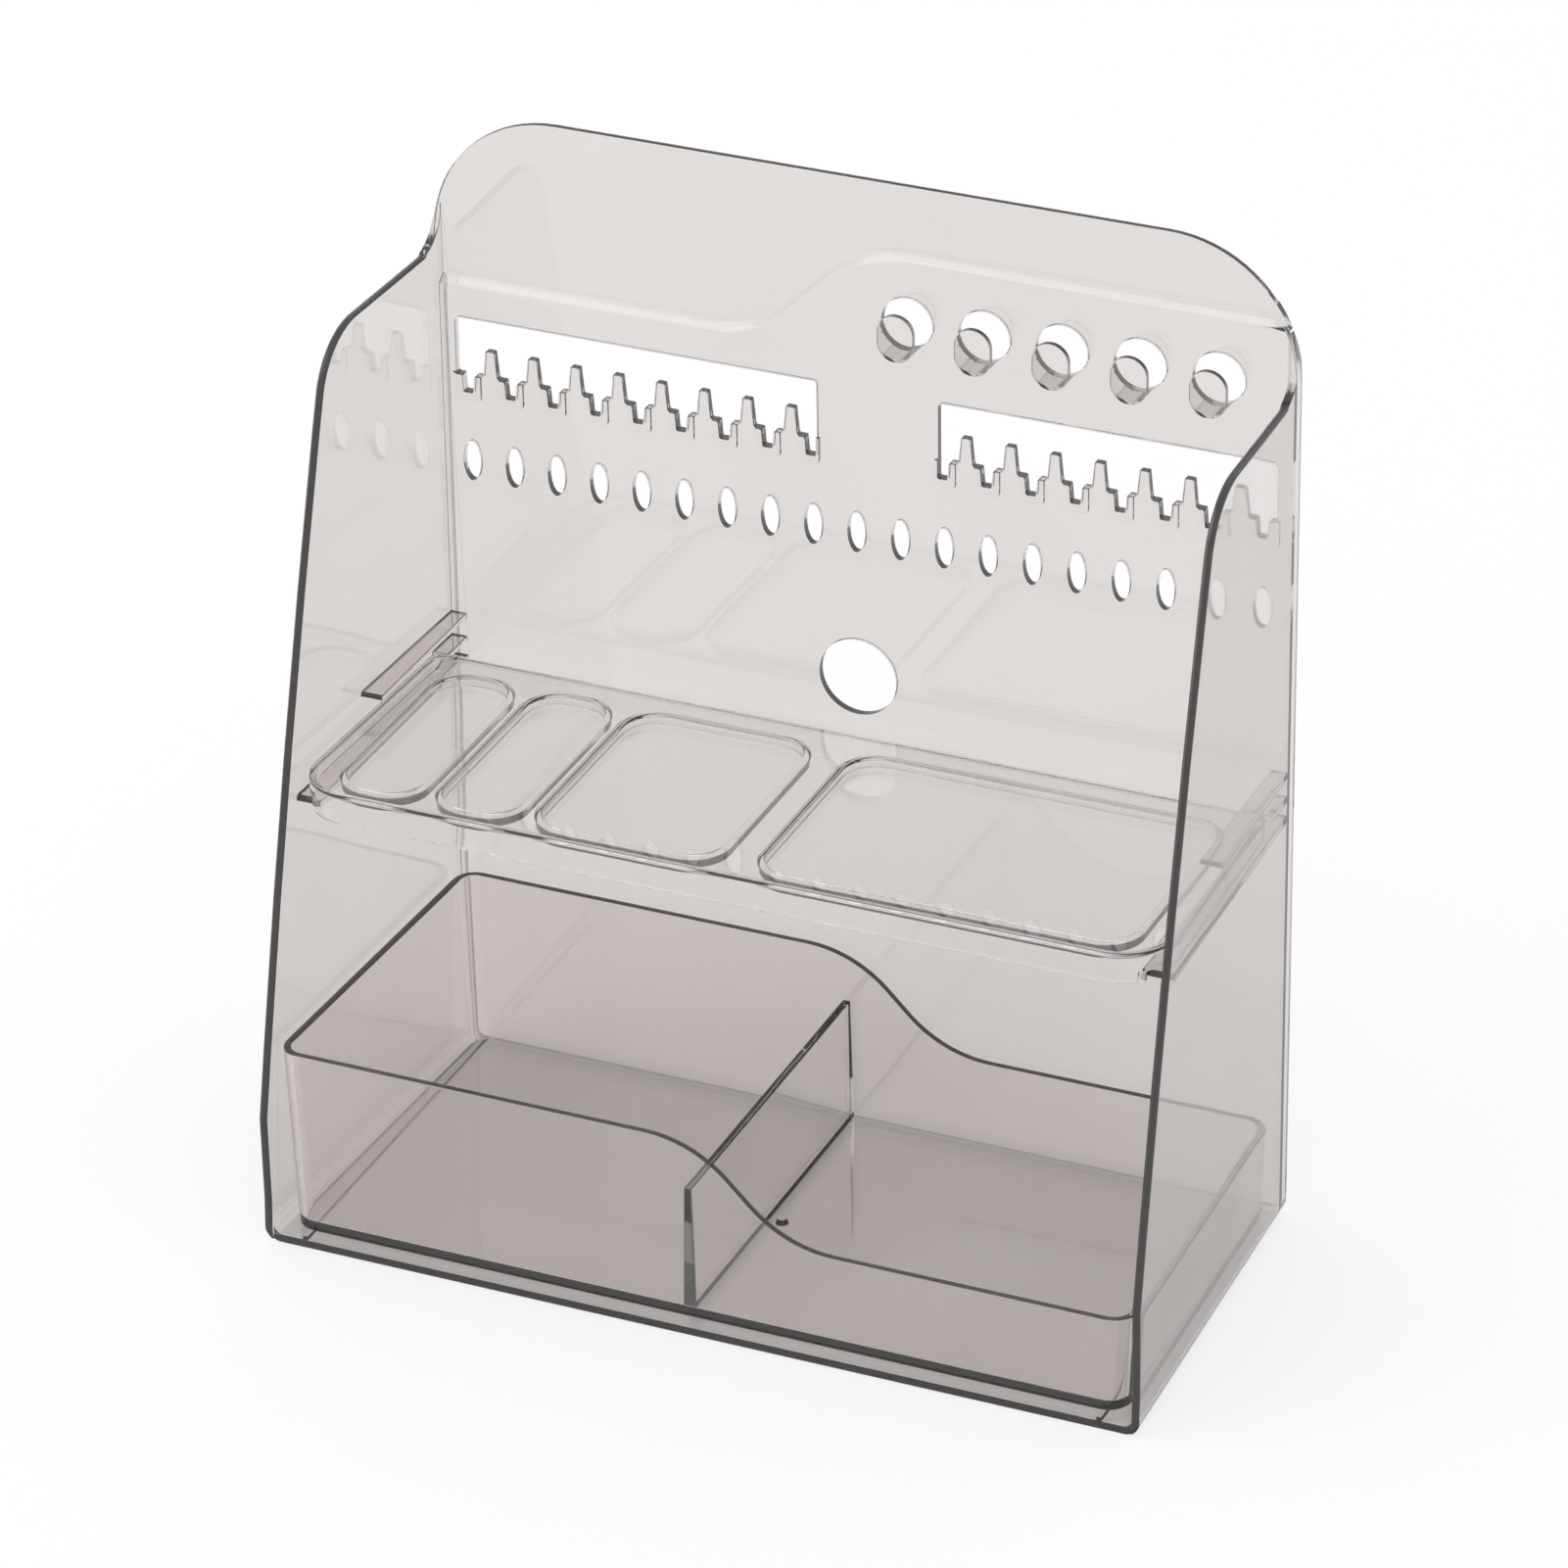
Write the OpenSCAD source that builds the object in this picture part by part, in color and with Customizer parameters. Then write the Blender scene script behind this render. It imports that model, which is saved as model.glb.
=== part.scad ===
// Desktop makeup and jewellery organizer in smoky clear plastic.
// A one-piece housing with a tall back panel for earrings and necklaces carries a sliding tray
// and a drawer. Millimetres, +Z up, front towards -Y, origin under the middle of the base.

/* [Housing] */
// Height of the back panel over the table
height = 300; // [290:1:330]
// Outer width across the rear edge
back_w = 257; // [254:1:275]
// Outer width across the front edge
front_w = 265; // [262:1:285]
// Outer depth, from the nose of the side walls to the rear edge
depth = 124.4; // [118:0.2:150]
// Thickness of the side walls
wall_t = 2.4; // [1.6:0.1:3.2]
// Thickness of the floor
floor_t = 2.4; // [1.6:0.1:3.4]
// Thickness of the back panel
panel_t = 2.4; // [1.6:0.1:3.4]
// Outer radius of the long bottom corners
base_r = 5; // [4:0.5:8]
// Radius of the two top corners of the back panel
top_r = 38; // [20:1:40]

/* [Side walls] */
// Height of the side walls at the back
side_h = 258.7; // [250:0.1:262]
// Length of the level top edge of a side wall, measured to its unrounded front corner
side_top = 69; // [60:0.5:80]
// Height of the nose, the point of the side wall that is furthest forward
nose_z = 40; // [25:1:60]
// How far the foot of the front edge stands behind the nose
foot_back = 0.6; // [0:0.1:3]
// How far the floor's front edge stands behind the foot of the side walls
floor_setback = 0.6; // [0.3:0.1:4]
// How far the sloping front edge bulges from a straight line
bulge = 2.8; // [0:0.1:5]
// Radius of the rounded top front corner
shoulder_r = 22; // [10:1:28]
// Radius of the hollow where the top edge meets the back panel
neck_r = 12; // [6:1:16]

/* [Moulded step in the back panel] */
// How far the lower zone of the panel stands forward of the upper zone
jog = 2.6; // [1.8:0.1:4]
// Height of the step on the left side
step_left_z = 248.5; // [244:0.5:252]
// Height of the step on the right side
step_right_z = 279; // [276:0.5:284]
// Place of the middle of the S across the width
step_mid_x = -14; // [-20:0.5:-8]
// Radius of both bends of an S-shaped edge
bend_r = 35; // [15:1:38]

/* [Earring slots] */
// Distance from one slot to the next, in both rows
pitch = 13.1; // [12.4:0.05:13.2]
// Number of oval slots
oval_count = 19; // [15:2:19]
// Width of an oval slot
oval_w = 5.2; // [3:0.1:7]
// Height of an oval slot
oval_h = 12.2; // [8:0.1:16]
// Height of the oval slots' centres
oval_z = 193.6; // [188:0.2:198]
// Number of slots in the left comb
comb_left = 9; // [6:1:9]
// Number of slots in the right comb
comb_right = 8; // [5:1:8]
// Height of the top edge of the comb windows
window_top_z = 237.8; // [234:0.5:241]
// Height of the teeth's tips
tip_z = 228.6; // [225:0.2:231]
// Height of the shoulders on both sides of each slot
shoulder_z = 220.5; // [219:0.1:222]
// Height of the bottom of the slots
slot_z = 215.3; // [214:0.1:217]
// Width of a slot at its mouth
slot_top_w = 3.7; // [3:0.1:4]
// Width of a slot at its bottom
slot_bottom_w = 2.9; // [1.5:0.1:3]
// Width of a tooth at its tip
tip_w = 2.7; // [1.5:0.1:3]
// Width of a tooth at shoulder height
tooth_w = 4.3; // [3.5:0.1:4.4]
// Distance from the end slot to the end of its window
window_end = 3.9; // [3:0.1:4.2]
// How far the pad round each slot stands proud of the panel
pad_t = 0.8; // [0.4:0.1:1.5]
// Width of a pad
pad_w = 7.6; // [6.6:0.1:7.8]
// Height of a pad's lower edge
pad_z = 212.7; // [211:0.1:213.5]

/* [Necklace hooks and cable hole] */
// Number of hooks
hook_count = 5; // [3:1:5]
// Distance from one hook to the next
hook_pitch = 22.7; // [20:0.1:23]
// Place of the first hook across the width
hook_x = 15.6; // [12:0.1:17]
// Height of the centre of a hook's hole
hook_z = 260.2; // [258:0.2:262]
// Width of the hole over a hook
hook_w = 15; // [13:0.1:16]
// Height of the hole over its centre
hook_top = 7.6; // [6.8:0.1:9]
// Depth of the rounded belly under the centre
hook_belly = 8; // [7:0.1:9]
// How far the shelf of the hook lies under the centre
shelf_drop = 1.7; // [0:0.1:2.5]
// How far the hook reaches in front of the panel
hook_reach = 8.5; // [6:0.5:14]
// Width of the upright tongue at the end of the hook
tongue_w = 10.8; // [9:0.2:12]
// Height of the tongue over the centre
tongue_top = 6; // [4.8:0.2:7]
// Thickness of the hook's walls
hook_t = 1.7; // [1.2:0.1:2.2]
// Diameter of the round cable hole
cable_d = 23.2; // [16:0.2:30]
// Height of the centre of the cable hole
cable_z = 148.2; // [146:0.2:168]

/* [Tray rails] */
// Height of the top of the lower rails, which carry the tray
rail_z = 131; // [122:0.5:132]
// Thickness of the lower rails
rail_t = 2.2; // [1.6:0.1:3]
// Distance of the rails' inner edges from the middle
rail_x = 121.5; // [119:0.1:122]
// How far the lower rails end behind the front edge of the side wall
rail_setback = 6; // [2:0.5:15]
// Clear height between the lower and the upper rails
rail_gap = 11.7; // [9.5:0.1:12]
// Thickness of the upper rails, which stop the tray from tipping
guard_t = 1.7; // [1.2:0.1:3]
// Length of the upper rails
guard_len = 54.5; // [40:0.5:70]
// Length of the stop behind the tray
stop_len = 12.2; // [6:0.2:16]
// Height of the stop
stop_h = 6; // [4:0.2:7]

/* [Tray] */
// Height of the tray's rim at the front and at the back
tray_h = 9.4; // [8.6:0.2:12]
// Height of the tray's rim where it rides on the rails
tray_side_h = 6.3; // [5:0.1:7.5]
// Thickness of the tray's plate and rim
tray_t = 1.8; // [1.2:0.1:2.2]
// Radius of the tray's front corners
tray_front_r = 15; // [8:1:18]
// Radius of the tray's back corners
tray_back_r = 4; // [2:0.5:8]
// How far the tray stands out in front of the side walls
tray_overhang = 1.6; // [0:0.1:5]
// Depth of the recesses
recess_depth = 3; // [1.5:0.1:3.6]
// Radius of the recesses' corners
recess_r = 9.5; // [5:0.5:10.5]
// Margin from the recesses to the sides of the tray
recess_side = 8.4; // [7:0.2:12]
// Margin from the recesses to the front of the tray
recess_front = 6.4; // [5:0.2:12]
// Margin from the recesses to the back of the tray
recess_rear = 9.4; // [6:0.2:14]
// Width of the first recess from the left
recess_1 = 22.6; // [22:0.2:30]
// Width of the second recess
recess_2 = 23.4; // [22:0.2:30]
// Width of the third recess
recess_3 = 54; // [40:0.5:60]
// Width of the land between the first and second, and the second and third recess
land = 6.8; // [5:0.2:10]
// Width of the land between the third and fourth recess
wide_land = 12.8; // [8:0.2:16]

/* [Drawer] */
// Height of the high left half over the table
drawer_high = 60.5; // [50:0.5:75]
// Height of the low right half over the table
drawer_low = 33; // [20:0.5:36]
// Place of the middle of the S in the rim across the width
rim_mid_x = 12.5; // [0:0.5:20]
// Thickness of the drawer's walls
drawer_t = 2.2; // [1.6:0.1:3]
// Thickness of the drawer's floor
drawer_floor = 2.4; // [1.6:0.1:3.4]
// Radius of the drawer's upright corners
drawer_r = 7; // [4:0.5:10]
// How much each drafted side comes in from the rim to the floor
draft = 2.6; // [0.5:0.1:4]
// How far the drawer's front stands behind the nose of the side walls
drawer_setback = 4.8; // [3:0.1:10]
// Height of the two runners on the housing's floor
runner_h = 1; // [0.6:0.1:2]
// Width of the runners
runner_w = 1.6; // [1:0.1:3]
// Distance of the runners from the middle
runner_x = 119.5; // [100:0.5:120]

/* [Divider] */
// Place of the divider across the drawer
divider_x = -3.2; // [-30:0.2:-3]
// Height of the divider over the drawer's floor
divider_h = 38.6; // [20:0.2:42]
// Thickness of the divider at its foot
divider_foot = 4; // [2.5:0.1:5]
// Thickness of the divider at its top
divider_top = 2.3; // [1.2:0.1:2.4]

/* [Clearances] */
// Gap between the drawer and the walls beside it, at the rim
drawer_gap = 1; // [0.5:0.1:2]
// Gap between the drawer and the panel behind it
drawer_rear_gap = 0.6; // [0.3:0.1:2]
// Gap under the drawer, over the runners
drawer_lift = 0.1; // [0.05:0.05:0.5]
// Gap between the tray and the walls beside it
tray_gap = 1; // [0.5:0.1:2]
// Gap between the tray and the stop behind it
tray_rear_gap = 0.5; // [0.3:0.1:2]
// Gap under the tray's rim, over the lower rails
tray_lift = 0.2; // [0.1:0.05:0.5]
// Gap between the cut-back rim of the tray and the rails
notch_gap = 1; // [0.5:0.1:3]

/* [Hidden] */

smoke = "#aaa19f";
smoke_alpha = 0.55;
// Largest angle between two points of a rounded corner, smaller on wide corners
function arc_step(r) = r < 1.6 ? 22.5 : r < 11 ? 11.25 : 5;
// Small overlap that joins two solids of one piece
weld = 0.4;
// Length that runs past what a cut goes through
past = 5;
// Radii of the comb's small corners and of the window's corners
comb_r = 0.45;
window_r = 1.2;
pad_r = 1.5;
pad_edge = 1;
// Share of the sloping front edge that its curve covers before the rounded shoulder
curve_end = 0.88;
curve_points = 9;
oval_points = 24;

// Stub left by the moulding gate on the drawer's floor: place, diameter and height
gate_x = 2.6;
gate_y = -6;
gate_d = 3.2;
gate_h = 1.4;

y_back = depth / 2;
y_front = -depth / 2;
splay = (front_w - back_w) / 2 / depth;
splay_angle = atan(splay);
upper_face = y_back - panel_t;
lower_face = upper_face - jog;
lower_rear = lower_face + panel_t;
floor_front = y_front + foot_back + floor_setback;
top_front_y = y_back - side_top;

tray_z = rail_z + tray_lift + tray_side_h;
tray_front = edge_y(tray_z) - tray_overhang;
tray_back = lower_face - stop_len - tray_rear_gap;
rail_front = edge_y(rail_z) + rail_setback;

drawer_z = floor_t + runner_h + drawer_lift;
drawer_front = y_front + drawer_setback;
drawer_back = lower_face - drawer_rear_gap;
drawer_floor_z = drawer_z + drawer_floor;

// Outer and inner half width of the housing at a depth y
function half_out(y) = back_w / 2 + splay * (y_back - y);
function half_in(y) = half_out(y) - wall_t;

// Place of the side wall's sloping front edge at a height z: a straight slope with a bulge
function slope_y(t) = y_front + t * (top_front_y - y_front) - bulge * 4 * t * (1 - t);
function edge_y(z) = z < nose_z ? y_front + foot_back * (1 - z / nose_z)
    : slope_y((z - nose_z) / (side_h - nose_z));

// Points of an outline whose corners are rounded, each with its own radius
function unit(v) = v / norm(v);
function turn(d) = d - 360 * floor((d + 180) / 360);
function corner(p, a, b, r) =
    let (cosine = min(1, max(-1, a * b)), half = acos(cosine) / 2)
    r <= 0 || half > 89.9 ? [p] :
    let (c = p + unit(a + b) * r / sin(half), t = r / tan(half),
        from = p + a * t - c, to = p + b * t - c,
        start = atan2(from[1], from[0]), sweep = turn(atan2(to[1], to[0]) - start),
        n = max(2, ceil(abs(sweep) / arc_step(r) - 0.01)))
    [for (k = [0:n]) c + r * [cos(start + sweep * k / n), sin(start + sweep * k / n)]];
function rounded(pts, radii) = let (n = len(pts))
    [for (i = [0:n - 1]) each corner(pts[i], unit(pts[(i + n - 1) % n] - pts[i]),
        unit(pts[(i + 1) % n] - pts[i]), radii[i])];

// Region under an S-shaped edge that changes height at 45 degrees
function under_s(half, left_z, right_z, bottom, mid, r) = let (run = abs(right_z - left_z) / 2)
    rounded([[-half, bottom], [-half, left_z], [mid - run, left_z], [mid + run, right_z],
        [half, right_z], [half, bottom]], [r, 0, bend_r, bend_r, 0, r]);

// A plate in the X-Z plane that fills y from y0 to y1
module plate(y0, y1) {
    translate([0, y1, 0]) rotate([90, 0, 0]) linear_extrude(y1 - y0) children();
}

// Something drawn in the frame of the right side wall: x = 0 is its outer face
module wall_frame() {
    translate([back_w / 2, y_back, 0]) rotate([0, 0, splay_angle]) translate([0, -y_back, 0]) children();
}

module both_sides() {
    children();
    mirror([1, 0, 0]) children();
}

// Everything between the outer faces of the side walls, with the long bottom corners and the
// top corners rounded. It trims all pieces of the housing to one smooth outside.
half_outline = rounded([[-2 * back_w, 0], [0, 0], [0, height], [-2 * back_w, height]],
    [0, base_r, top_r, 0]);
module half_form() {
    wall_frame() translate([0, y_back + depth, 0]) rotate([90, 0, 0])
        linear_extrude(3 * depth) polygon(half_outline);
}
module outer_form() {
    intersection() {
        half_form();
        mirror([1, 0, 0]) half_form();
        translate([-back_w, y_front - past, -past]) cube([2 * back_w, depth + past, height + 2 * past]);
    }
}

// Side wall, seen from the side
side_outline = rounded(concat(
    [[y_back + past, 0], [y_front + foot_back, 0]],
    [for (k = [0:curve_points]) let (t = curve_end * k / curve_points)
        [slope_y(t), nose_z + t * (side_h - nose_z)]],
    [[top_front_y, side_h], [upper_face, side_h], [upper_face, side_h + neck_r + weld],
        [y_back + past, side_h + neck_r + weld]]),
    concat([0, 0], [for (k = [0:curve_points]) 0], [shoulder_r, neck_r, 0, 0]));

module side_wall() {
    inner_r = base_r - wall_t;
    wall_frame() {
        translate([-wall_t, 0, 0]) rotate([90, 0, 90]) linear_extrude(wall_t + past)
            polygon(side_outline);
        // fillet inside the long bottom corner
        translate([0, y_back + past, 0]) rotate([90, 0, 0])
            linear_extrude(past + y_back - floor_front - weld) difference() {
                square_from(-base_r - weld, 0, past, floor_t + inner_r);
                translate([-wall_t - inner_r, floor_t + inner_r]) circle(r = inner_r, $fn = 32);
                square_from(-base_r - past, floor_t, -wall_t - inner_r, base_r + past);
            }
    }
}
module square_from(x0, z0, x1, z1) {
    translate([x0, z0]) square([x1 - x0, z1 - z0]);
}

module base_plate() {
    translate([-back_w, floor_front, 0]) cube([2 * back_w, depth, floor_t]);
}

// Back panel: a block with a pocket in front, over the step, and one behind, under the step
module panel() {
    inside = half_in(y_back) - weld;
    difference() {
        plate(lower_face, y_back + past) square_from(-back_w, floor_t / 2, back_w, height + past);
        plate(lower_face - past, upper_face) difference() {
            square_from(-2 * back_w, side_h / 2, 2 * back_w, height + 2 * past);
            polygon(under_s(back_w + past, step_left_z, step_right_z, 0, step_mid_x, 0));
        }
        plate(lower_rear, y_back + 2 * past) polygon(under_s(inside, step_left_z - panel_t,
            step_right_z - panel_t, floor_t + weld, step_mid_x, base_r - wall_t));
    }
}

// Window with slots and teeth. Slots run from index first to last of the common pitch.
function slot_x(i) = (i - (oval_count - 1) / 2) * pitch;
function slot_points(c) = [[c - slot_top_w / 2, shoulder_z], [c - slot_bottom_w / 2, slot_z],
    [c + slot_bottom_w / 2, slot_z], [c + slot_top_w / 2, shoulder_z]];
function tooth_points(c) = [[c - tooth_w / 2, shoulder_z], [c - tip_w / 2, tip_z],
    [c + tip_w / 2, tip_z], [c + tooth_w / 2, shoulder_z]];
// Points of a comb whose first slot lies at x = 0 and whose end to the right is cut straight
function comb_points(count) = let (last = (count - 1) * pitch) concat(
    [[-window_end, window_top_z], [-window_end, shoulder_z]],
    [for (k = [0:count - 2]) each concat(slot_points(k * pitch), tooth_points((k + 0.5) * pitch))],
    [[last - slot_top_w / 2, shoulder_z], [last - slot_bottom_w / 2, slot_z],
        [last + slot_bottom_w / 2, slot_z], [last + slot_bottom_w / 2, window_top_z]]);
module comb_window(count) {
    pts = comb_points(count);
    n = len(pts);
    polygon(rounded(pts, [for (i = [0:n - 1]) i == 0 || i == n - 1 ? window_r : comb_r]));
}
module comb_pads(count) {
    for (k = [0:count - 1]) {
        left = k == 0 ? -window_end - pad_edge : -pad_w / 2;
        right = k == count - 1 ? slot_bottom_w / 2 + pad_edge : pad_w / 2;
        translate([k * pitch, 0]) polygon(rounded([[left, shoulder_z + comb_r],
            [left, pad_z], [right, pad_z], [right, shoulder_z + comb_r]], [0, pad_r, pad_r, 0]));
    }
}
// The left comb starts at the left end of the row, the right one is its mirror image
module at_combs() {
    translate([slot_x(0), 0, 0]) children(0);
    mirror([1, 0, 0]) translate([slot_x(0), 0, 0]) children(1);
}

module ovals() {
    for (i = [0:oval_count - 1]) translate([slot_x(i), oval_z])
        polygon([for (k = [0:oval_points - 1]) let (a = 360 * k / oval_points)
            [oval_w / 2 * cos(a), oval_h / 2 * sin(a)]]);
}

// Hook, with its origin at the centre of its hole on the panel's front face: a shelf with an
// upright tongue at its end and a rounded belly, hollow from behind, under it. The solid is
// built too thick where hook_hole trims it.
module hook_solid() {
    r = tongue_w / 2;
    plate(-hook_reach, weld) belly(r, -hook_belly, weld - shelf_drop);
    plate(-hook_reach, hook_t + weld - hook_reach) {
        belly(r, -hook_belly, tongue_top - r);
        translate([0, tongue_top - r]) circle(r = r, $fn = 32);
    }
    translate([0, 0, -shelf_drop - hook_t]) linear_extrude(hook_t + weld) polygon([
        [weld - r, hook_t / 2 - hook_reach], [r - weld, hook_t / 2 - hook_reach],
        [hook_w / 2 - weld, weld], [weld - hook_w / 2, weld]]);
}
module hook_hole() {
    r = hook_w / 2;
    plate(hook_t - hook_reach, panel_t + past) {
        translate([0, hook_top - r]) circle(r = r, $fn = 48);
        square_from(-r, -shelf_drop, r, hook_top - r);
    }
}
module hook_hollow() {
    plate(hook_t - hook_reach, panel_t + past)
        belly(tongue_w / 2 - hook_t, hook_t - hook_belly, -shelf_drop - hook_t);
}
// Region with a half-round lower end at height z0, cut off flat at height z1
module belly(r, z0, z1) {
    intersection() {
        square_from(-2 * r, z0 - r, 2 * r, z1);
        union() {
            translate([0, z0 + r]) circle(r = r, $fn = 32);
            square_from(-r, z0 + r, r, z1 + 2 * r);
        }
    }
}
module at_hooks() {
    for (k = [0:hook_count - 1]) translate([hook_x + k * hook_pitch, lower_face, hook_z]) children();
}

// A flat bar along the inside of the right wall, from y0 to y1 and z0 to z1
module wall_bar(y0, y1, z0, z1) {
    translate([0, 0, z0]) linear_extrude(z1 - z0) polygon([[rail_x, y0], [rail_x, y1],
        [half_in(y1) + wall_t / 2, y1], [half_in(y0) + wall_t / 2, y0]]);
}
module rails() {
    guard_z = rail_z + rail_gap;
    wall_bar(rail_front, lower_face + weld, rail_z - rail_t, rail_z);
    wall_bar(lower_face - guard_len, lower_face + weld, guard_z, guard_z + guard_t);
    wall_bar(lower_face - stop_len, lower_face + weld, rail_z + stop_h - guard_t, rail_z + stop_h);
    translate([runner_x, floor_front + weld, floor_t - weld])
        cube([runner_w, lower_face - floor_front, runner_h + weld]);
}

module housing() {
    color(smoke, smoke_alpha) difference() {
        union() {
            intersection() {
                union() {
                    both_sides() side_wall();
                    base_plate();
                    panel();
                }
                outer_form();
            }
            both_sides() rails();
            at_combs() {
                plate(lower_face - pad_t, lower_face + weld) comb_pads(comb_left);
                plate(lower_face - pad_t, lower_face + weld) comb_pads(comb_right);
            }
            at_hooks() hook_solid();
        }
        at_combs() {
            plate(lower_face - past, y_back + past) comb_window(comb_left);
            plate(lower_face - past, y_back + past) comb_window(comb_right);
        }
        plate(lower_face - past, y_back + past) ovals();
        at_hooks() {
            hook_hole();
            hook_hollow();
        }
        translate([0, y_back + past, cable_z]) rotate([90, 0, 0])
            cylinder(d = cable_d, h = depth / 2, $fn = 96);
    }
}

// Tray outline, drawn in by inset all round
function tray_outline(inset) = let (f = tray_front + inset, b = tray_back - inset,
    wf = half_in(f) - tray_gap - inset, wb = half_in(b) - tray_gap - inset)
    rounded([[-wf, f], [wf, f], [wb, b], [-wb, b]],
        [tray_front_r - inset, tray_front_r - inset, tray_back_r - inset, tray_back_r - inset]);

// Left and right edge of each recess
recess_y0 = tray_front + recess_front;
recess_y1 = tray_back - recess_rear;
recess_left = -(half_in(tray_back) - tray_gap) + recess_side;
recess_x = [
    [recess_left, recess_left + recess_1],
    [recess_left + recess_1 + land, recess_left + recess_1 + land + recess_2],
    [recess_left + recess_1 + recess_2 + 2 * land, recess_left + recess_1 + recess_2 + 2 * land + recess_3],
    [recess_left + recess_1 + recess_2 + 2 * land + recess_3 + wide_land, -recess_left]];
module recesses(grow) {
    for (x = recess_x) polygon(rounded([[x[0] - grow, recess_y0 - grow], [x[1] + grow, recess_y0 - grow],
        [x[1] + grow, recess_y1 + grow], [x[0] - grow, recess_y1 + grow]],
        [for (k = [0:3]) recess_r + grow]));
}

module tray() {
    notch_y = rail_front - notch_gap;
    notch_x = rail_x - notch_gap;
    color(smoke, smoke_alpha) difference() {
        union() {
            // plate
            translate([0, 0, tray_z - tray_t]) linear_extrude(tray_t) polygon(tray_outline(0));
            // rim
            translate([0, 0, tray_z - tray_h]) linear_extrude(tray_h - weld) difference() {
                polygon(tray_outline(0));
                polygon(tray_outline(tray_t));
            }
            // underside of the recesses
            translate([0, 0, tray_z - recess_depth - tray_t])
                linear_extrude(recess_depth + tray_t - weld) recesses(tray_t);
        }
        translate([0, 0, tray_z - recess_depth]) linear_extrude(recess_depth + past) recesses(0);
        // rim cut back over the rails
        both_sides() translate([notch_x, notch_y, tray_z - tray_h - past])
            cube([back_w, depth, tray_h + past - tray_side_h]);
    }
}

// Drawer outline at height z, drawn in by inset all round. The two ends are drafted.
function drop(z) = draft * (drawer_high - z) / (drawer_high - drawer_z);
function drawer_outline(z, inset) = let (f = drawer_front + inset, b = drawer_back - inset,
    wf = half_in(drawer_front) - drawer_gap - drop(z) - inset,
    wb = half_in(drawer_back) - drawer_gap - drop(z) - inset, r = drawer_r - inset)
    rounded([[-wf, f], [wf, f], [wb, b], [-wb, b]], [r, r, r, r]);

// Solid between the outlines at two heights
module drafted(z0, z1, inset) {
    low = drawer_outline(z0, inset);
    high = drawer_outline(z1, inset);
    n = len(low);
    polyhedron(points = concat([for (p = low) [p[0], p[1], z0]], [for (p = high) [p[0], p[1], z1]]),
        faces = concat([[for (i = [0:n - 1]) i]], [[for (i = [n - 1:-1:0]) n + i]],
            [for (i = [0:n - 1]) [i, n + i, n + (i + 1) % n, (i + 1) % n]]));
}

module drawer() {
    color(smoke, smoke_alpha) {
        intersection() {
            difference() {
                drafted(drawer_z, drawer_high + past, 0);
                drafted(drawer_floor_z, drawer_high + 2 * past, drawer_t);
            }
            plate(drawer_front - past, drawer_back + past)
                polygon(under_s(front_w, drawer_high, drawer_low, 0, rim_mid_x, 0));
        }
        // stub left by the moulding gate
        translate([gate_x, gate_y, drawer_floor_z - weld]) cylinder(d = gate_d, h = gate_h + weld, $fn = 32);
    }
}
module divider() {
    y0 = drawer_front + drawer_t;
    y1 = drawer_back - drawer_t;
    color(smoke, smoke_alpha) translate([divider_x, 0, drawer_floor_z]) plate(y0, y1)
        polygon([[-divider_foot / 2, 0], [divider_foot / 2, 0], [divider_top / 2, divider_h],
            [-divider_top / 2, divider_h]]);
}

housing();
tray();
drawer();
divider();
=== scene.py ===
# %% [markdown]
# # A smoky desktop organizer, dressed in Blender
#
# The solids of this organizer come from its plain CAD model. That model is exact, but every edge
# in it is knife sharp, and it has no material. This lesson gives it the softly rounded edges of a
# moulding and a smoky, see-through plastic, and then builds a small studio round it. Lengths are
# written in millimetres where a reader would measure them, and Blender gets them in metres.

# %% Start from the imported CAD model
import math

import bmesh
import bpy
import numpy as np
from mathutils import Matrix, Vector


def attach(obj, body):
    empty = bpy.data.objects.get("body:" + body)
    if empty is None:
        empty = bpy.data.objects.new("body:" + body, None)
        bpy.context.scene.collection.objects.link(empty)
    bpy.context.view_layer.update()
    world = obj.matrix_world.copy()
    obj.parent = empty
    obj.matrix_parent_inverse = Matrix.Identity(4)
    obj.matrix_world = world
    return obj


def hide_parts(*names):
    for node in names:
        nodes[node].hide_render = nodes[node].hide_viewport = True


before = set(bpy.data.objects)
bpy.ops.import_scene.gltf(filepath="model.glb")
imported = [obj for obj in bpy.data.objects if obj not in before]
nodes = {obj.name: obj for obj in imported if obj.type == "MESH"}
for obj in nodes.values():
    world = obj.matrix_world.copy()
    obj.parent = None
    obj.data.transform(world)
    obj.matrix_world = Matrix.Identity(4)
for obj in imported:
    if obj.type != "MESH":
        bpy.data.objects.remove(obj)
print("CAD nodes:", sorted(nodes))
MM = 0.001


# %% Bring the scene up to date
def measured():
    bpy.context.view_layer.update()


measured()

# %% [markdown]
# ## Smoky polystyrene
#
# The real organizer is injection moulded from transparent polystyrene with a little grey-brown
# dye. The dye is in the plastic, not on it: one wall looks pale, and two or three walls behind
# each other look darker and browner. A see-through image or a grey glass without depth would miss
# that, so every wall here is a real wall, whose surface refracts and whose inside absorbs.
#
# Two small helpers come first. One turns the colours that we write, as a screen shows them, into
# the linear colours that Blender calculates with. The other adds any node with its settings and
# links, so that a material reads as a list of what it is made of.


# %% From written colours to linear ones
def colour(hex_code, alpha=1.0):
    """Linear RGBA of an sRGB colour written as six hex digits: ((c + 0.055) / 1.055) ** 2.4."""
    parts = [int(hex_code[i:i + 2], 16) / 255 for i in (0, 2, 4)]
    linear = [c / 12.92 if c <= 0.04045 else ((c + 0.055) / 1.055) ** 2.4 for c in parts]
    return (*linear, alpha)


SMOKE = colour("907266")
print("smoky dye, linear:", [round(part, 3) for part in SMOKE[:3]])


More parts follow.
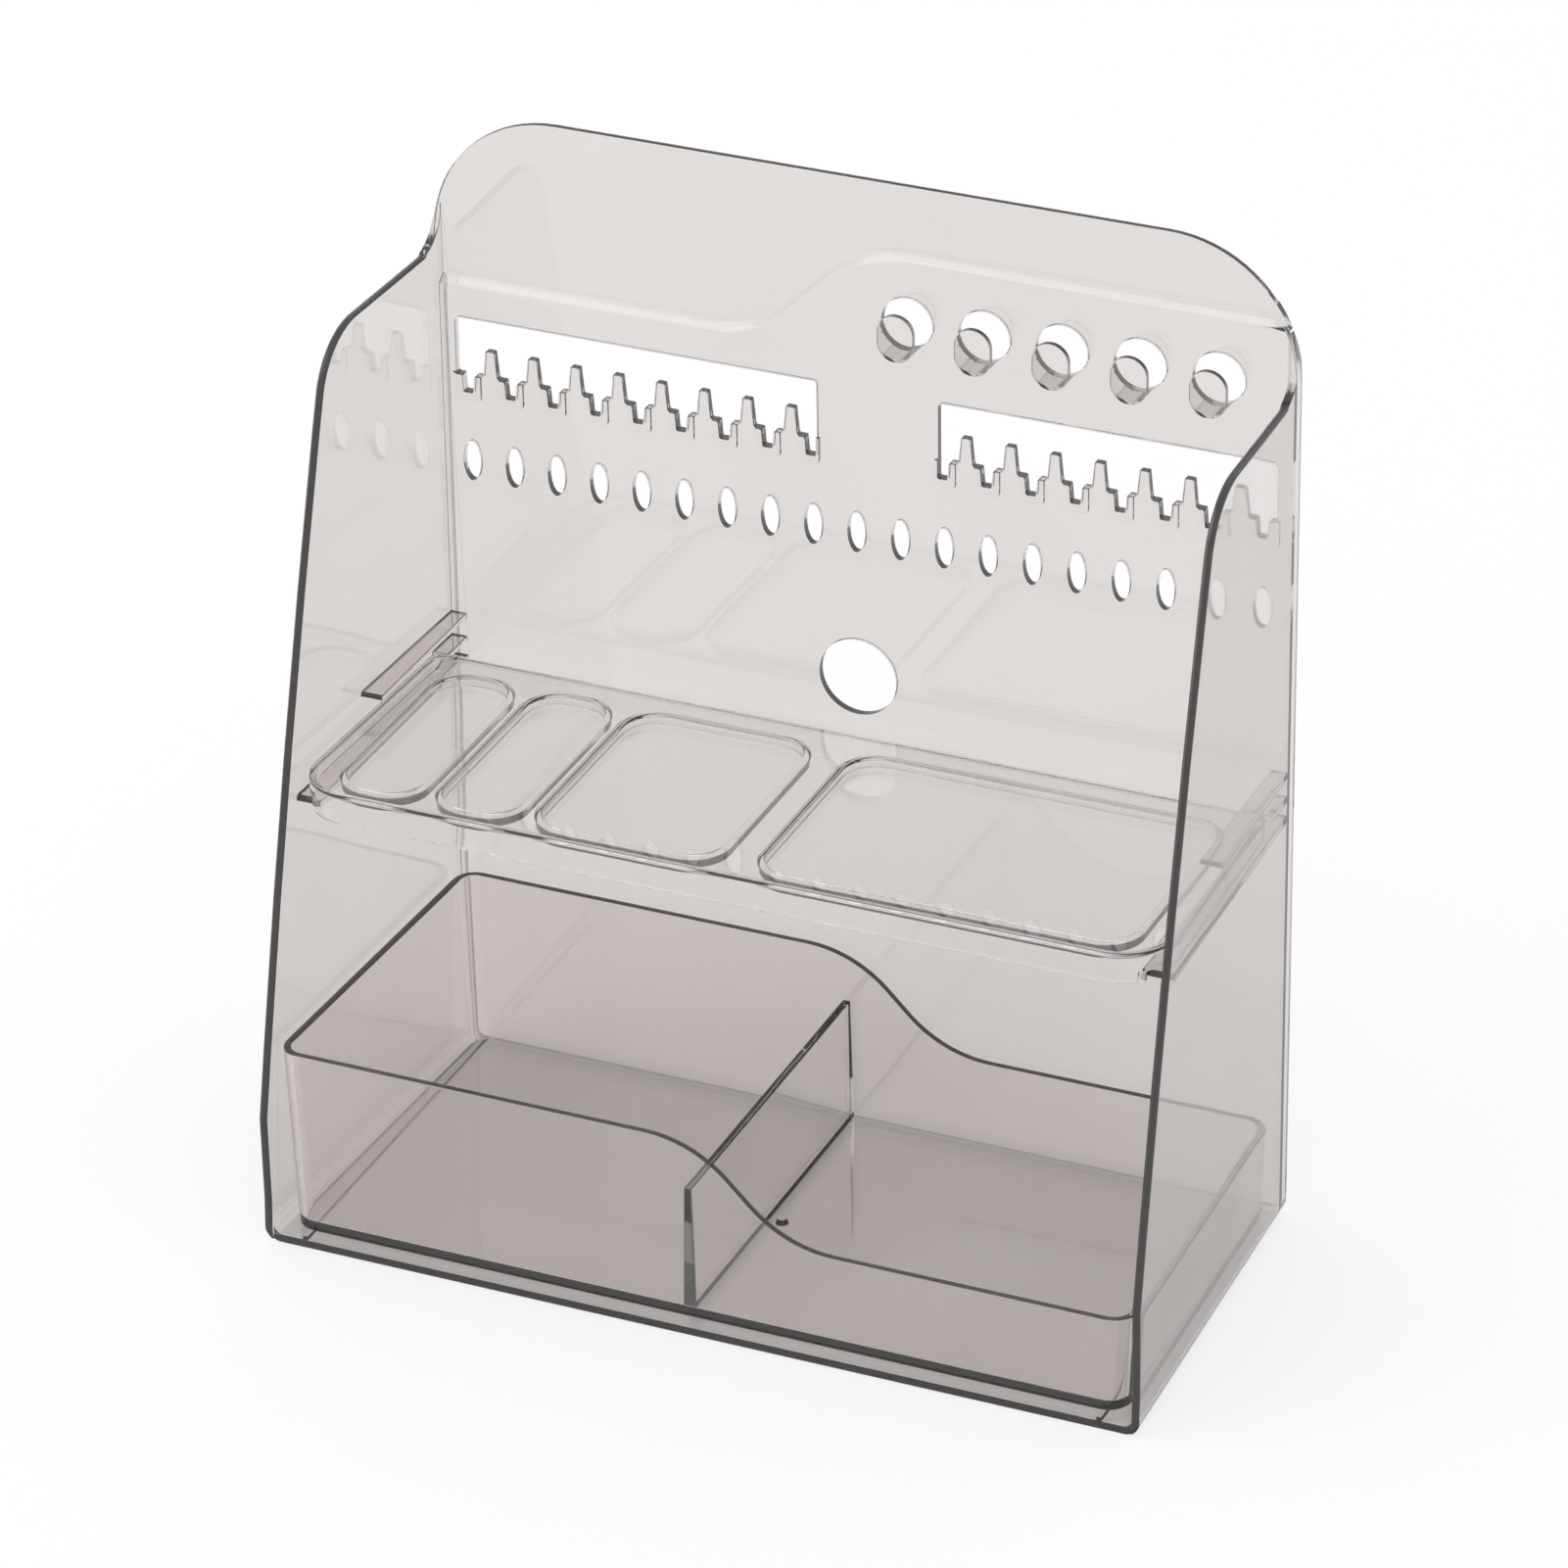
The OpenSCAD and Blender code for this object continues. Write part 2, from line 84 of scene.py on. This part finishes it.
# %% Materials out of nodes
def empty_material(name):
    """A new material and its node tree, still without nodes."""
    material = bpy.data.materials.new(name)
    material.use_nodes = True
    material.node_tree.nodes.clear()
    return material, material.node_tree


def add(tree, kind, inputs=None, **settings):
    """One new node: settings go on the node, and inputs gives its sockets a value or a link."""
    node = tree.nodes.new("ShaderNode" + kind)
    for setting, value in settings.items():
        setattr(node, setting, value)
    for socket, value in (inputs or {}).items():
        if isinstance(value, bpy.types.NodeSocket):
            tree.links.new(value, node.inputs[socket])
        else:
            node.inputs[socket].default_value = value
    return node


# %% [markdown]
# ## How much light a wall takes away
#
# A Volume Absorption shader darkens light by the distance that it travels inside: after a length
# s it leaves exp(-density * (1 - colour) * s). With all the dye in the volume the walls come out
# right, but a rim turns black, because light that is led along a wall by total reflection travels
# many times as far as light that crosses it. In the photograph the rims are dark brown. So most of
# the dye works in the surface instead, as Base Color, which tints light once for each wall that it
# crosses, and only a fifth of it stays in the depth.

# %% The loss in one wall
WALL = 2.4 * MM         # thickness of the housing's walls
IN_SURFACE = 0.8        # share of the dye that works in the surface and not in the depth


def wall_loss(dye_per_m, tint):
    """Exponent of the light lost in one wall, for red, green and blue: density (1 - tint) wall."""
    return [dye_per_m * (1 - part) * WALL for part in tint[:3]]


print("a housing wall passes", [round(math.exp(-part), 2) for part in wall_loss(165.0, SMOKE)])

# %% [markdown]
# ## What keeps moulded plastic from looking like glass
#
# Float glass is perfectly flat and even. A moulding isn't. The dye forms faint clouds where the
# melt flowed, the walls keep long, flat waves from the filling of the mould, and fingers dull the
# gloss a little in small spots. Each of these is a noise on Object coordinates, which stay fixed
# to the plastic, and each noise has the size in millimetres of the thing it stands for. All three
# are weak: at the photograph's size they hardly show, and they are there for a closer look.

# %% Sizes of clouds, waves and touched spots
CLOUD = 60 * MM         # width of the clouds in the dye
CLOUD_DEPTH = 0.1       # share by which the dye in a cloud is thinner or thicker
RIPPLE = 24 * MM        # length of the flow waves in a wall
WAVE = 0.12 * MM        # height of those waves
TOUCH = 5 * MM          # width of the spots that fingers have dulled
CLEAN, TOUCHED = 0.015, 0.045       # roughness of a clean and of a touched spot


def cloudy_stain(tree, place, loss):
    """Colour of the surface: exp(-share * loss), with the dye thinner or thicker in clouds."""
    thin, thick = ((*[math.exp(-IN_SURFACE * part * much) for part in loss], 1)
                   for much in (1 - CLOUD_DEPTH, 1 + CLOUD_DEPTH))
    cloud = add(tree, "TexNoise", {"Vector": place, "Scale": 1 / CLOUD, "Detail": 1.0})
    return add(tree, "Mix", {0: cloud.outputs["Fac"], 6: thin, 7: thick},
               data_type="RGBA").outputs[2]


def flow_waves(tree, place):
    """Normal of a wall whose height is a smooth noise, WAVE high and RIPPLE long."""
    ripple = add(tree, "TexNoise", {"Vector": place, "Scale": 1 / RIPPLE, "Detail": 0.0})
    return add(tree, "Bump", {"Height": ripple.outputs["Fac"], "Strength": 1.0,
                              "Distance": WAVE}).outputs["Normal"]


def touched_gloss(tree, place):
    """Roughness from CLEAN to TOUCHED, where a noise of spots goes from 0.35 to 0.7."""
    touch = add(tree, "TexNoise", {"Vector": place, "Scale": 1 / TOUCH, "Detail": 3.0})
    return add(tree, "MapRange", {"Value": touch.outputs["Fac"], "From Min": 0.35,
                                  "From Max": 0.7, "To Min": CLEAN,
                                  "To Max": TOUCHED}).outputs["Result"]


# %% [markdown]
# ## The plastic itself
#
# Polystyrene bends light with an index of 1.59, more than acrylic does. That high index draws the
# dark lines at the edges. It also makes the walls mirror each other more than the photograph
# shows, so the specular level, which scales the mirroring and leaves the bending alone, is set
# low. A transmission of 0.98 leaves two parts in a hundred as a plain, matt body colour, and that
# is the faint haze of cheap clear plastic.

# %% Smoky plastic
POLYSTYRENE = 1.59
HAZE = 0.02
MIRRORING = 0.05        # of 1, where 0.5 is the full mirroring of clean plastic


def smoky_plastic(name, dye_per_m, tint=SMOKE, index=POLYSTYRENE):
    """Clear plastic whose wall passes exp(-dye_per_m * (1 - tint) * WALL) of each colour."""
    material, tree = empty_material(name)
    loss = wall_loss(dye_per_m, tint)
    place = add(tree, "TexCoord").outputs["Object"]
    surface = add(tree, "BsdfPrincipled", {
        "Base Color": cloudy_stain(tree, place, loss),
        "Roughness": touched_gloss(tree, place),
        "Normal": flow_waves(tree, place),
        "IOR": index,
        "Specular IOR Level": MIRRORING,
        "Transmission Weight": 1 - HAZE})
    dye = add(tree, "VolumeAbsorption", {"Color": tint, "Density": (1 - IN_SURFACE) * dye_per_m})
    add(tree, "OutputMaterial", {"Surface": surface.outputs["BSDF"],
                                 "Volume": dye.outputs["Volume"]})
    print(name, "passes", [round(math.exp(-part), 2) for part in loss], "of the light per wall")
    return material


# %% [markdown]
# ## One plastic, four strengths
#
# All pieces are moulded from the same kind of plastic, but the photograph shows them in different
# strengths. The housing is the smokiest. The drawer's own walls are paler, while everything that
# is seen through its floor turns brown, so its dye is weaker and browner. The tray is paler still,
# and the divider is nearly clear. The divider is also seen almost along its face, where it came
# out too dark with the full index. A lower index isn't what the real plastic has, but it brings
# the divider closer to the photograph.

# %% The four batches
housing_plastic = smoky_plastic("smoky transparent polystyrene", 165.0)
drawer_plastic = smoky_plastic("paler smoky polystyrene of the drawer", 60.0, colour("ae795e"))
tray_plastic = smoky_plastic("palest smoky polystyrene of the tray", 40.0)
divider_plastic = smoky_plastic("almost clear polystyrene of the divider", 8.0, index=1.3)

# %% [markdown]
# ## Soft moulded edges
#
# A steel mould has no perfectly sharp corner, so every edge of a moulding is rounded by a few
# tenths of a millimetre. On see-through plastic these small roundings matter: they bend the light
# and draw the dark and bright lines by which the eye finds the shape. One could model them in CAD,
# but there they make thousands of tiny faces. Here each CAD node is copied, its loose triangles
# are joined into whole faces, and a Bevel modifier rounds the edges that are sharp. The copy then
# replaces the node in the picture, and the node itself stays as it is for the physics.


# %% From loose triangles to whole faces
def whole_faces(mesh, cuts):
    """Editable form of mesh: equal points merged, flat neighbours joined, faces cut at planes."""
    form = bmesh.new()
    form.from_mesh(mesh)
    bmesh.ops.remove_doubles(form, verts=form.verts, dist=0.003 * MM)
    bmesh.ops.dissolve_limit(form, angle_limit=math.radians(0.6), verts=form.verts,
                             edges=form.edges, use_dissolve_boundaries=False)
    for axis, place in cuts:
        along = Vector([float(axis == other) for other in "xyz"])
        bmesh.ops.bisect_plane(form, geom=form.verts[:] + form.edges[:] + form.faces[:],
                               dist=0.001 * MM, plane_co=along * place * MM, plane_no=along)
    return form


# %% [markdown]
# The Bevel modifier has one width, but an edge can take less than that by its bevel weight, a
# number from 0 to 1. So a rule gives each sharp edge its radius, the widest becomes the width of
# the modifier, and the others become a share of it. An edge counts as sharp if its faces turn by
# more than 32 degrees. The steps of a rounded CAD corner turn by less and are left alone.

# %% Weigh the edges
SHARP = math.radians(32)


def weigh_edges(form, radii):
    """Sets each sharp edge's weight to its radius over the widest radius, which it returns."""
    middle = np.array([(e.verts[0].co + e.verts[1].co) / 2 for e in form.edges]) / MM
    turn = np.array([e.calc_face_angle_signed(0) for e in form.edges])
    radius = np.where(np.abs(turn) > SHARP, radii(middle, turn), 0)
    weight = form.edges.layers.float.new("bevel_weight_edge")
    for e, value in zip(form.edges, radius / radius.max()):
        e[weight] = value
    return radius.max()


def everywhere(radius):
    """Rule that gives every edge one radius in mm."""
    return lambda middle, turn: np.full(len(turn), radius)


# %% Round the weighed edges
def round_edges(piece, width, steps):
    """Bevel by weight, width mm at weight 1, and normals that keep the large faces flat."""
    edge = piece.modifiers.new("moulded edges", "BEVEL")
    edge.limit_method = "WEIGHT"
    edge.width = width * MM
    edge.segments = steps
    edge.use_clamp_overlap = False
    edge.loop_slide = False
    edge.miter_outer = "MITER_ARC"
    flat = piece.modifiers.new("flat faces stay flat", "WEIGHTED_NORMAL")
    flat.weight = 100


# %% A moulding from a CAD node
def moulded(node, name, radii, steps, body, plastic, cuts=(), shape=None):
    """Copy of a CAD node with rounded edges, riding on body; shape may move its points first."""
    mesh = nodes[node].data.copy()
    mesh.name = name
    form = whole_faces(mesh, cuts)
    if shape:
        moved = shape(np.array([v.co for v in form.verts]) / MM) * MM
        for v, place in zip(form.verts, moved):
            v.co = place
    width = weigh_edges(form, radii)
    open_edges = sum(not e.is_manifold for e in form.edges)
    form.to_mesh(mesh)
    form.free()
    mesh.materials.clear()
    mesh.materials.append(plastic)
    mesh.shade_smooth()
    piece = bpy.data.objects.new(name, mesh)
    bpy.context.scene.collection.objects.link(piece)
    round_edges(piece, width, steps)
    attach(piece, body)
    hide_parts(node)
    print(name, len(mesh.polygons), "faces, open edges:", open_edges)
    return piece


# %% [markdown]
# ## The housing and its different edges
#
# The housing is one moulding: floor, side walls, back panel, rails, hooks and combs. Its edges
# aren't all alike. The free rims of the walls and the panel are seen from all sides and were
# rounded generously, by 1 mm. The teeth of the combs, the slots and the hooks are so small that
# 0.25 mm is all they can have. Under the two front feet two walls and the floor meet at slender
# angles, and there a tenth of a millimetre keeps the rounding from crossing itself.
#
# The radii may only change where one face ends and another begins. So the faces are first cut
# along a few planes, which lie where the rule below changes its mind.

# %% Radii of the housing's edges
HOUSING_CUTS = [("z", 14), ("z", 244.2), ("z", 284), ("y", 50), ("x", -118), ("x", 118)]


def housing_radii(middle, turn):
    """Radius in mm of each edge of the housing, from its middle point in mm and its turn."""
    x, y, z = np.abs(middle[:, 0]), middle[:, 1], middle[:, 2]
    wall_rim = (turn > 0) & (x > 124.6) & (z > 14) & (y < 50)
    panel_rim = z > 284
    step = (x < 118) & (y > 57.1) & (z < 283) & ((z > 270) | ((z > 245) & (middle[:, 0] < 5)))
    foot = (z < 6) & (x > 127) & (y < -58)
    return np.select([foot, step, wall_rim | panel_rim], [0.1, 1.2, 1.0], 0.25)


# %% [markdown]
# ## The soft step in the back panel
#
# The lower part of the panel stands 2.6 mm in front of the upper part, and the step between them
# runs across the panel in a shallow S. In the CAD model it is a square step, which see-through
# plastic turns into two hard, dark lines. The photograph shows one faint line, because a mould
# needs a slope there, or the part would stick in it. One could carve the slope into the solid, but
# it is simpler to move the four lines of corner points: two corners on the front face, two on the
# rear face, each lifted or lowered at right angles to the S, until the step slopes at about 43
# degrees. First comes the line itself, as a height for each place across the panel.

# %% The S of the step
BEND = 35               # radius of both bends
LOW_Z, HIGH_Z = 248.5, 279      # height of the step on the left and on the right


def step_line(x):
    """Height in mm of the step: level, arc of BEND, slope z = x + 277.75, arc of BEND, level."""
    low = LOW_Z + BEND - np.sqrt(BEND ** 2 - np.clip(x + 43.75, 0, 24.75) ** 2)
    high = HIGH_Z - BEND + np.sqrt(BEND ** 2 - np.clip(x - 15.75, -24.75, 0) ** 2)
    return np.where(x < -19, low, np.where(x > -9, high, x + 277.75))


print("height of the step from left to right:", step_line(np.linspace(-100, 100, 5)).round(1))

# %% Lift the corners of the step
# Corners of the step, as their depth, their place under the step line and their lift, in mm
STEP_CORNERS = [(57.2, 0, -1.2), (59.8, 0, 1.2), (59.6, 2.4, 0.2), (62.2, 2.4, 2.6)]


def drafted_step(points):
    """The given points in mm, those on a corner of the step lifted along the step line's normal."""
    x, y, z = points.T
    slope = (step_line(x + 0.1) - step_line(x - 0.1)) / 0.2
    normal = np.column_stack([-slope, 0 * slope, 0 * slope + 1]) / np.hypot(1, slope)[:, None]
    moved = points.copy()
    for depth, under, lift in STEP_CORNERS:
        corner = (np.abs(y - depth) < 0.05) & (np.abs(z + under - step_line(x)) < 0.04) & (x < 119)
        moved[corner] += lift * normal[corner]
        print("step corner at depth", depth, "mm:", corner.sum(), "points lifted", lift, "mm")
    return moved


# %% The housing
housing = moulded("housing", "housing_moulding", housing_radii, 3, "housing", housing_plastic,
                  HOUSING_CUTS, drafted_step)

# %% [markdown]
# ## The tray
#
# A flat moulding with four shallow recesses, which rides on two rails and slides out to the front.
# Its rim is only 1.8 mm thick, so half a millimetre on both edges of the rim nearly makes it
# round. It rides on its own body, and the picture follows when the joint moves.

# %% The tray
tray = moulded("tray", "tray_moulding", everywhere(0.5), 2, "tray", tray_plastic)

# %% [markdown]
# ## The drawer and its divider
#
# The drawer is an open bin whose rim swings down in an S from its high left half to its low right
# half. The divider stands across it and is a plate of its own. It slides with the drawer, so it
# rides on the drawer's body.

# %% The drawer and the divider
drawer = moulded("drawer", "drawer_moulding", everywhere(0.6), 3, "drawer", drawer_plastic)
divider = moulded("divider", "divider_plate", everywhere(0.4), 2, "drawer", divider_plastic)

# %% [markdown]
# ## The floor
#
# Product photographs of clear things are taken on white, and the white reaches the eye in three
# ways: straight, mirrored in the gloss, and through the plastic. A matt white floor alone comes
# out a little grey in all three, and greyest close to the object. More light on it would also
# burn out the object. So a part of the floor's white is its own glow at strength 1, and that part
# only counts for rays that end in the eye: camera rays, glossy rays and rays through plastic. The
# rest is plain matt paint, which keeps the object's soft shadow. Diffuse rays get no glow at all,
# so the floor lights the object no more than white paint does.

# %% White of the floor
SEEN_GLOW = 0.72        # share of the glow where the floor is seen straight
THROUGH_GLOW = 0.45     # share of the glow where it is mirrored or seen through plastic


def floor_white():
    """Matt white, mixed with white glow by the largest share of the kinds that a ray is."""
    material, tree = empty_material("matt white studio floor")
    paint = add(tree, "BsdfPrincipled", {"Base Color": colour("fafafa"), "Roughness": 1.0,
                                         "Specular IOR Level": 0.0})
    rays = add(tree, "LightPath").outputs
    glow = add(tree, "Math", {0: rays["Is Camera Ray"], 1: SEEN_GLOW},
               operation="MULTIPLY").outputs[0]
    for kind in ("Is Glossy Ray", "Is Transmission Ray"):
        part = add(tree, "Math", {0: rays[kind], 1: THROUGH_GLOW}, operation="MULTIPLY")
        glow = add(tree, "Math", {0: glow, 1: part.outputs[0]}, operation="MAXIMUM").outputs[0]
    white = add(tree, "Emission")
    mix = add(tree, "MixShader", {0: glow, 1: paint.outputs["BSDF"], 2: white.outputs["Emission"]})
    add(tree, "OutputMaterial", {"Surface": mix.outputs["Shader"]})
    return material


# %% The floor plate
def floor_plate(size, drop):
    """A square floor of the given size in metres, drop mm under the organizer's underside."""
    corner = size / 2 * np.array([[-1, -1], [1, -1], [1, 1], [-1, 1]])
    points = np.column_stack([corner, np.full(4, -drop * MM)])
    mesh = bpy.data.meshes.new("floor")
    mesh.from_pydata(points.tolist(), [], [(0, 1, 2, 3)])
    mesh.materials.append(floor_white())
    plate = bpy.data.objects.new("floor", mesh)
    bpy.context.scene.collection.objects.link(plate)
    return plate


floor = floor_plate(12.0, 0.3)
print("floor:", floor.name, [round(side, 2) for side in floor.dimensions])

# %% [markdown]
# ## World and lamp
#
# The light is as plain as it can be. A white world of strength 1 lights everything evenly, as a
# light tent does, and a single large softbox from the front left adds just enough direction for a
# soft shadow. A colour then renders about as it is written.


# %% White world
def white_world():
    """A white world of strength 1 for every kind of ray."""
    world = bpy.data.worlds.new("white studio")
    bpy.context.scene.world = world
    world.use_nodes = True
    tent = world.node_tree.nodes["Background"]
    tent.inputs["Color"].default_value = colour("ffffff")
    tent.inputs["Strength"].default_value = 1.0


white_world()


# %% Softbox
def soft_lamp(name, place, target, size, power):
    """A square area lamp at place that looks at target, all in metres, with power in watts."""
    lamp = bpy.data.lights.new(name, "AREA")
    lamp.size = size
    lamp.energy = power
    thing = bpy.data.objects.new(name, lamp)
    thing.location = place
    thing.rotation_euler = (Vector(target) - Vector(place)).to_track_quat("-Z", "Y").to_euler()
    bpy.context.scene.collection.objects.link(thing)
    print(name, power, "W at", place)


soft_lamp("key softbox", (-1.2, -1.0, 1.6), (0, 0, 0.12), 1.2, 6.0)

# %% [markdown]
# ## The photograph's camera
#
# To compare a render with the photograph, both need the same camera. It was found by fitting the
# corners of the housing: the upright edges give the tilt, the level edges the direction, and how
# fast they run together gives the distance. The result is a long lens, about two metres away,
# that looks down from the front right. The picture is 1601 pixels wide, and the focal length came
# out as 8105.83 of these pixels, so it is turned into millimetres on a 36 mm sensor.

# %% Camera
AZIMUTH, ELEVATION, ROLL = (math.radians(v) for v in (24.16, 28.83, -0.89))
AIM = Vector((2.587, 0, 143.83)) * MM       # point in the middle of the picture
AWAY = 2174.36 * MM                         # from that point to the camera
FOCAL = 8105.83 / 1601                      # focal length over the picture's width
SENSOR = 36.0


def photograph_camera():
    """Camera whose axes come from azimuth, elevation and roll, back being away from the aim."""
    back = Vector((math.sin(AZIMUTH) * math.cos(ELEVATION),
                   -math.cos(AZIMUTH) * math.cos(ELEVATION), math.sin(ELEVATION)))
    right = Vector((0, 0, 1)).cross(back).normalized()
    up = back.cross(right)
    right, up = (math.cos(ROLL) * right + math.sin(ROLL) * up,
                 math.cos(ROLL) * up - math.sin(ROLL) * right)
    lens = bpy.data.cameras.new("camera")
    lens.sensor_width = SENSOR
    lens.lens = SENSOR * FOCAL
    lens.clip_end = 50.0
    thing = bpy.data.objects.new("camera", lens)
    place = AIM + back * AWAY
    thing.matrix_world = Matrix.Translation(place) @ Matrix((right, up, back)).transposed().to_4x4()
    bpy.context.scene.collection.objects.link(thing)
    bpy.context.scene.camera = thing
    print("camera at", [round(v, 4) for v in place], "with a lens of", round(lens.lens, 1), "mm")


photograph_camera()

# %% [markdown]
# ## Enough bounces for many walls
#
# A ray that enters the organizer can meet the drawer, the divider, the tray and the panel, with two
# surfaces each. Where the ray tracer runs out of bounces it returns black, and clear plastic gets
# dark spots. So the limits are raised to 32. The view transform Standard shows the colours as they
# were calculated.

# %% View and bounces
bpy.context.scene.view_settings.view_transform = "Standard"
for limit in ("max_bounces", "transmission_bounces", "transparent_max_bounces"):
    setattr(bpy.context.scene.cycles, limit, 32)
print("bounces:", bpy.context.scene.cycles.max_bounces)

# %% [markdown]
# ## Finish
#
# Last, the scene is brought up to date once more.

# %% Bring the scene up to date once more
measured()
